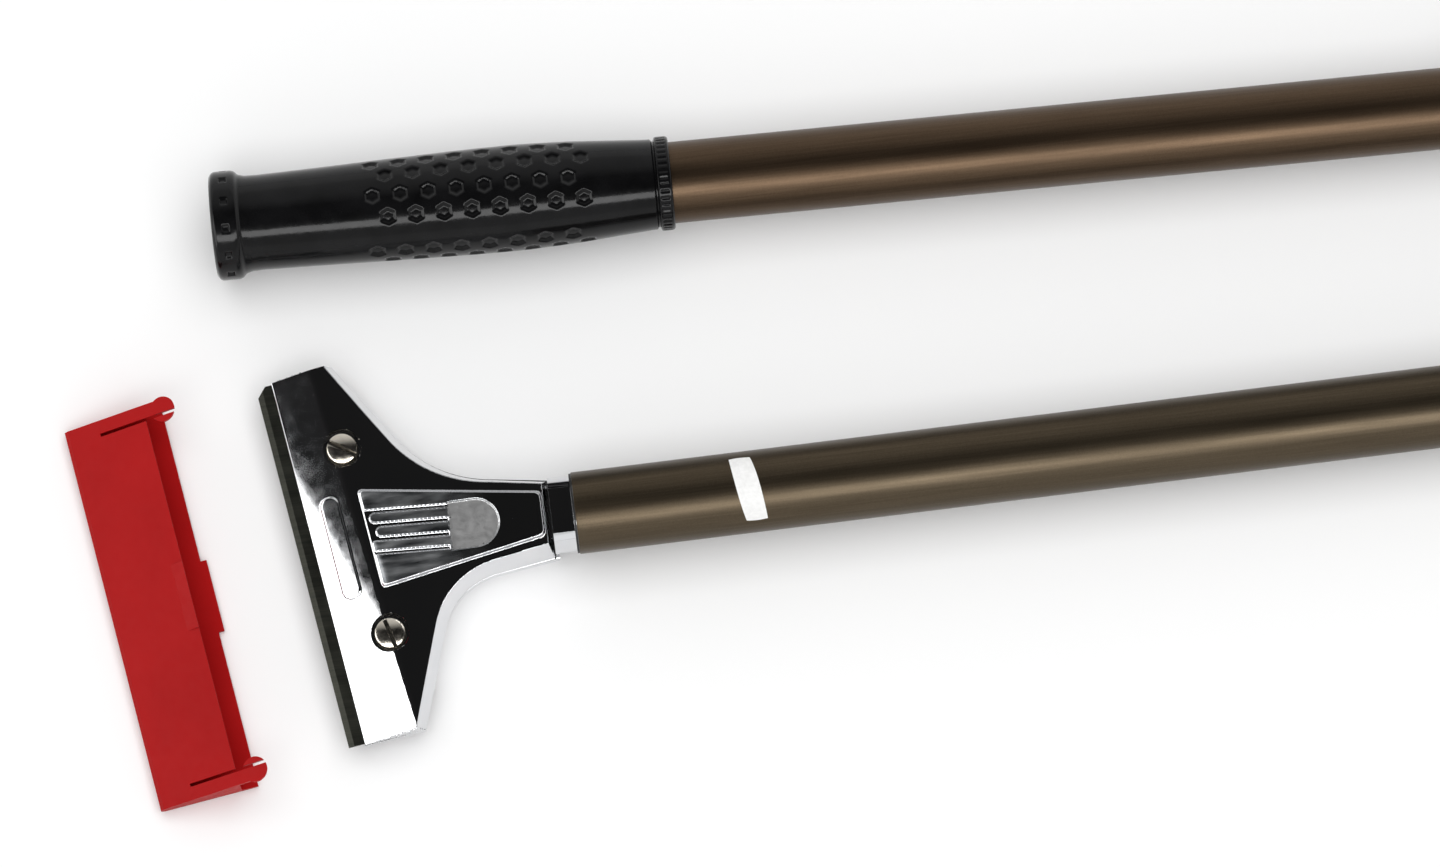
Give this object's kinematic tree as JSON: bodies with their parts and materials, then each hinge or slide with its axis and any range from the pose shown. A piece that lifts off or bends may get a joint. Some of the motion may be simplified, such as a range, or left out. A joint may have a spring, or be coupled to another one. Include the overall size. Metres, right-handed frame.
{
  "type": "algae scraper",
  "caption": "Long-handled algae scraper: a chromed blade clamp on a bronze tube, a second tube with a black grip, a joining sleeve and a red clip-on blade guard.",
  "frame": {"origin": "middle of the flat back of the head, 42 mm in front of the tube mouth on the handle's line", "axes": "+X along the handle from the blade to the open end of the head tube, +Z from the head's back to the jaw, +Y towards the grip section as laid down"},
  "size_m": [0.5411, 0.1702, 0.0383],
  "materials": {
    "cast_chrome": "bright chrome plate on die-cast zinc",
    "nickel_steel": "nickel-plated steel, softly turned",
    "knurled_nickel": "nickel-plated brass with a knurled rim",
    "blade_steel": "blued spring steel with a bright ground edge",
    "red_plastic": "moulded red plastic with a soft gloss",
    "bronze_tube": "satin bronze-anodised aluminium, drawn lengthwise",
    "black_vinyl": "glossy black dipped vinyl with a dimple pattern",
    "black_sleeve": "satin black-anodised aluminium",
    "black_seal": "black rubber",
    "white_label": "blank white sticker"
  },
  "bodies": {
    "head_section": {"head_body": "cast_chrome", "head_tube": "bronze_tube", "tang_pin": "nickel_steel", "neck_seal": "black_seal", "origin_label": "white_label"},
    "jaw": {"front_jaw": "cast_chrome"},
    "upper_jaw_screw": {"upper_screw": "nickel_steel", "upper_washer": "nickel_steel"},
    "lower_jaw_screw": {"lower_screw": "nickel_steel", "lower_washer": "nickel_steel"},
    "blade": {"scraper_blade": "blade_steel"},
    "guard": {"blade_guard": "red_plastic"},
    "grip_section": {"grip_tube": "bronze_tube", "hand_grip": "black_vinyl", "grip_end_plug": "black_vinyl"},
    "sleeve": {"joining_sleeve": "black_sleeve"},
    "front_thumb_screw": {"front_thumb_screw": "knurled_nickel"},
    "rear_thumb_screw": {"rear_thumb_screw": "knurled_nickel"}
  },
  "joints": [
    {"name": "jaw_lift", "type": "slide", "parent": "head_section", "child": "jaw", "axis": [0, 0, 1], "range_m": [0, 0.001]},
    {"name": "upper_screw_turn", "type": "hinge", "parent": "jaw", "child": "upper_jaw_screw", "pos_m": [-0.01846, 0.02541, 0.012], "axis": [0, 0, 1], "range_deg": [0, 451]},
    {"name": "lower_screw_turn", "type": "hinge", "parent": "jaw", "child": "lower_jaw_screw", "pos_m": [-0.01139, -0.02621, 0.012], "axis": [0, 0, 1], "range_deg": [0, 451]},
    {"name": "blade_slide", "type": "slide", "parent": "head_section", "child": "blade", "axis": [0.9907, 0.1357, 0], "range_m": [-0.016, 0]},
    {"name": "guard_slide", "type": "slide", "parent": "head_section", "child": "guard", "axis": [0.9879, 0.1353, 0.0758], "range_m": [0, 0.04353]},
    {"name": "section_swing", "type": "hinge", "parent": "head_section", "child": "grip_section", "pos_m": [0.40481, 0.03934, 0.01485], "axis": [0, 0, -1], "range_deg": [0, 178.5]},
    {"name": "sleeve_slide", "type": "slide", "parent": "grip_section", "child": "sleeve", "axis": [0.9997, -0.0262, 0], "range_m": [0, 0.03]},
    {"name": "front_thumb_screw_turn", "type": "hinge", "parent": "sleeve", "child": "front_thumb_screw", "pos_m": [0.34717, 0.0802, 0.03], "axis": [0, 0, 1], "range_deg": [0, 720]},
    {"name": "rear_thumb_screw_turn", "type": "hinge", "parent": "sleeve", "child": "rear_thumb_screw", "pos_m": [0.31718, 0.08099, 0.03], "axis": [0, 0, 1], "range_deg": [0, 720]}
  ],
  "couplings": [
    {"joint": "upper_screw_turn", "follows": "jaw_lift", "rad_per_m": 7854},
    {"joint": "lower_screw_turn", "follows": "jaw_lift", "rad_per_m": 7854}
  ]
}
